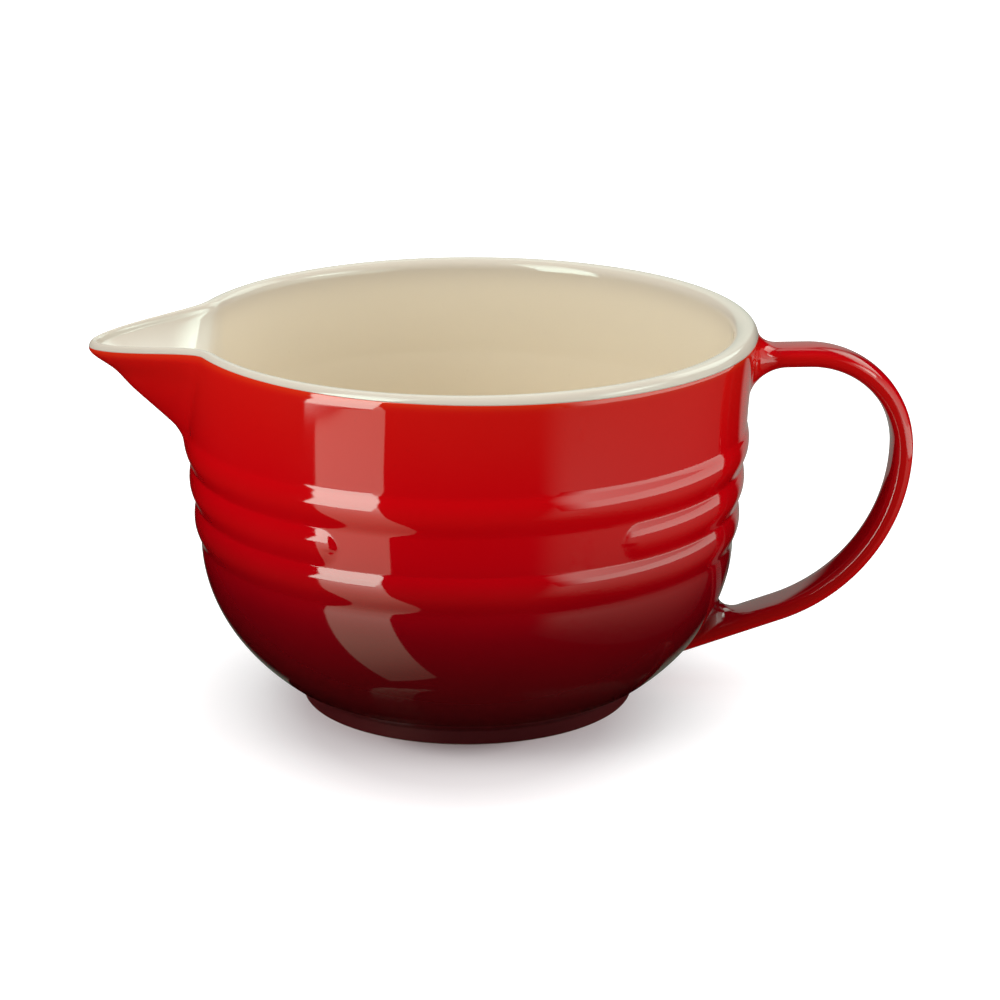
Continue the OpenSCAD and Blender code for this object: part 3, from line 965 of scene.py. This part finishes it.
def darkMaterial(name, roughness, ior, sheen=(1, 1, 1, 1)):
    # near black; the table card mirrors the cards, the tent is matt
    material, tree, shader = newMaterial(name)
    shader.inputs["Base Color"].default_value = (0.0, 0.0, 0.0, 1)
    shader.inputs["Roughness"].default_value = roughness
    shader.inputs["IOR"].default_value = ior
    shader.inputs["Specular Tint"].default_value = sheen
    return material


def makeStage():
    # the floor, and the dark card on it and the dark tent round it that only reflections see
    addStaged("floor", squareMesh("floor", studio["floorSize"], 0), floorMaterial())
    table = darkMaterial("darkTable", studio["tableRoughness"], studio["tableIor"], studio["tableSheen"])
    card = squareMesh("tableCard", studio["tableCard"], studio["tableLift"])
    reflectionOnly(addStaged("tableCard", card, table))
    segments, rings = studio["tentSteps"]
    bpy.ops.mesh.primitive_uv_sphere_add(segments=segments, ring_count=rings, radius=studio["tentRadius"])
    tent = bpy.context.object
    tent.name = "darkTent"
    tent.data.materials.append(darkMaterial("darkCloth", 1.0, 1.0))
    reflectionOnly(tent)


def makeWorld():
    # white where it is seen, and a low even light on the object
    world = bpy.data.worlds.new("studioWorld")
    bpy.context.scene.world = world
    world.use_nodes = True
    tree = world.node_tree
    ground = tree.nodes["Background"]
    ground.inputs["Color"].default_value = (1, 1, 1, 1)
    level = addNode(tree, "ShaderNodeMapRange", To_Min=studio["ambient"], To_Max=1.0)
    tree.links.new(seenDirectly(tree), level.inputs["Value"])
    tree.links.new(level.outputs["Result"], ground.inputs["Strength"])


# each card: azimuth from the front towards the handle, elevation, distance, width, width at the top as a
# share, height, aim, level, then for its left, right and top the share over which it fades and what is left
cards = {
    "stripCard": (-50.3, 36, 1.3, 0.75, 0.6, 1.75, -0.056, 10.0, (0.04, 0), (0.04, 0), (0.5, 0.25)),
    "panelCard": (74, 20, 1.5, 3.2, 1.0, 1.2, 0.05, 2.8, (0.2, 0), (0.9, 0.15), (0.6, 0.15)),
    "backGlow": (174, 30, 2.4, 1.9, 1.0, 2.77, 0.06, 0.46, (0.2, 0), (0.2, 0), (1.0, 2.8)),
    "bendCard": (70, 33, 1.5, 1.5, 1.0, 0.7, 0.09, 9.0, (0.5, 0), (0.5, 0), (0.5, 0)),
    "farCard": (125, 37, 1.8, 2.0, 1.0, 0.9, 0.09, 3.0, (0.3, 0), (0.3, 0), (0.3, 0)),
}
mirroredOnce = ("bendCard", "farCard")  # for the strap and the rim; the table does not pass them on
# each board lies on the table in front of a card: azimuth of its two sides, near and far end, level, the
# angles over which it starts and ends, and what is left at its end
boards = {
    "stripBoard": (-63.9, -36.7, 0.37, 1.6, 9.5, 1.0, 1.0, 1.0),
    "panelBoard": (30, 116, 0.37, 1.6, 3.4, 16.0, 50.0, 0.42),
    "backBoard": (128, 172, 0.15, 0.50, 0.32, 6.0, 1.0, 1.0),
}
# each lamp: azimuth, elevation, distance, width, height, aim, radiance; they light colours, not reflections
lamps = {
    "keyLight": (-62, 40, 1.8, 1.2, 1.2, 0.06, 3.3),
    "topLight": (0, 89, 1.8, 2.2, 2.2, 0.06, 1.55),
    "fillLight": (70, 30, 2.0, 1.4, 1.4, 0.06, 1.85),
    "sideLight": (115, 25, 2.0, 1.2, 1.2, 0.06, 1.5),
}


def faceAxis(made, azimuth, elevation, distance, aim):
    # stands an object off the bowl's axis, with its front to a point on it
    az, el = radians(azimuth), radians(elevation)
    away = Vector((sin(az) * cos(el), -cos(az) * cos(el), sin(el)))
    made.location = Vector((0, 0, aim)) + away * distance
    made.rotation_euler = away.to_track_quat("Z", "Y").to_euler()


def smoothFade(tree, value, start, end, rest=0.0):
    # a smooth step of a value, from what is left at the start to one at the end
    made = addNode(tree, "ShaderNodeMapRange", interpolation_type="SMOOTHSTEP",
                   From_Min=start, From_Max=end, To_Min=rest)
    tree.links.new(value, made.inputs["Value"])
    return made.outputs["Result"]


def glowMaterial(name):
    # black, with a glow in the cards' tint
    material, tree, shader = newMaterial(name)
    shader.inputs["Base Color"].default_value = (0, 0, 0, 1)
    shader.inputs["Specular IOR Level"].default_value = 0
    shader.inputs["Emission Color"].default_value = (*studio["cardTint"], 1)
    material.cycles.emission_sampling = "NONE"
    return material, tree, shader


def cardMaterial(name, x, y, level, left, right, top):
    # an even glow that fades towards the card's left, right and top
    material, tree, shader = glowMaterial(name)
    axes = splitAxes(tree, objectPlace(tree))
    for axis, edge, (share, rest) in (("X", -x, left), ("X", x, right), ("Y", y, top)):
        level = product(tree, smoothFade(tree, axes[axis], edge, edge * (1 - 2 * share), rest), level)
    tree.links.new(level, shader.inputs["Emission Strength"])
    if name in mirroredOnce:
        path = tree.nodes.new("ShaderNodeLightPath")
        once = addNode(tree, "ShaderNodeMath", operation="LESS_THAN")
        once.inputs[1].default_value = studio["secondMirror"]
        tree.links.new(path.outputs["Ray Depth"], once.inputs[0])
        tree.links.new(once.outputs["Value"], shader.inputs["Alpha"])
    return material


def makeCards():
    # glowing cards that only the glaze's reflections see
    for name, (azimuth, elevation, distance, width, taper, height, aim, level, *fades) in cards.items():
        x, y = width / 2, height / 2
        top = x * taper
        mesh = flatMesh(name, [(-x, -y, 0), (x, -y, 0), (top, y, 0), (-top, y, 0)], [(0, 1, 2, 3)])
        made = addStaged(name, mesh, cardMaterial(name, x, y, level, *fades))
        faceAxis(made, azimuth, elevation, distance, aim)
        reflectionOnly(made)


def boardMaterial(name, first, last, near, level, start, end, rest):
    # a glow by distance and azimuth: soft at the near end and at its start, down to its rest at its end
    material, tree, shader = glowMaterial(name)
    place = objectPlace(tree)
    axes = splitAxes(tree, place)
    away = addNode(tree, "ShaderNodeVectorMath", operation="LENGTH")
    turn = addNode(tree, "ShaderNodeMath", operation="ARCTAN2")
    tree.links.new(place, away.inputs[0])
    tree.links.new(axes["X"], turn.inputs[0])
    tree.links.new(product(tree, axes["Y"], -1), turn.inputs[1])
    azimuth = turn.outputs["Value"]
    reach = smoothFade(tree, away.outputs["Value"], near, near + studio["boardFade"])
    head = smoothFade(tree, azimuth, radians(first), radians(first + start))
    tail = smoothFade(tree, azimuth, radians(last), radians(last - end), rest)
    glow = product(tree, product(tree, reach, level), product(tree, head, tail))
    tree.links.new(glow, shader.inputs["Emission Strength"])
    return material


def makeBoards():
    # each is part of a ring on the table, which widens away from the bowl
    count = studio["boardSteps"]
    i = np.arange(count - 1)
    faces = np.stack([i, i + 1, i + count + 1, i + count], axis=1).tolist()
    for name, (first, last, near, far, *glow) in boards.items():
        turns = np.radians(np.linspace(first, last, count))
        ends = np.array([near, far])[:, None]
        x, y = ends * np.sin(turns), -ends * np.cos(turns)
        corners = np.stack(np.broadcast_arrays(x, y, studio["boardLift"]), axis=-1).reshape(-1, 3)
        mesh = flatMesh(name, corners.tolist(), faces)
        reflectionOnly(addStaged(name, mesh, boardMaterial(name, first, last, near, *glow)))


def makeLamps():
    # each lamp's power gives the radiance asked for
    for name, (azimuth, elevation, distance, width, height, aim, radiance) in lamps.items():
        lamp = bpy.data.lights.new(name, "AREA")
        lamp.shape = "RECTANGLE"
        lamp.size, lamp.size_y = width, height
        lamp.energy = radiance * pi * width * height
        made = bpy.data.objects.new(name, lamp)
        bpy.context.scene.collection.objects.link(made)
        faceAxis(made, azimuth, elevation, distance, aim)
        made.visible_camera = False
        made.visible_glossy = False


view = {
    "place": (-0.05757, -1.09849, 0.40653),
    "lookDown": 17.244,
    "turn": -3.563,
    "lens": 126.168,
    "sensor": 36,
}


def makeCamera():
    # a long lens at the place that was fitted to the rim, the foot and the ribs
    camera = bpy.data.cameras.new("camera")
    camera.lens = view["lens"]
    camera.sensor_width = view["sensor"]
    made = bpy.data.objects.new("camera", camera)
    made.location = view["place"]
    made.rotation_euler = (radians(90 - view["lookDown"]), 0, radians(view["turn"]))
    bpy.context.scene.collection.objects.link(made)
    bpy.context.scene.camera = made


makeStage()
makeWorld()
makeCards()
makeBoards()
makeLamps()
makeCamera()
bpy.context.scene.view_settings.view_transform = "Standard"
print("studio ready")
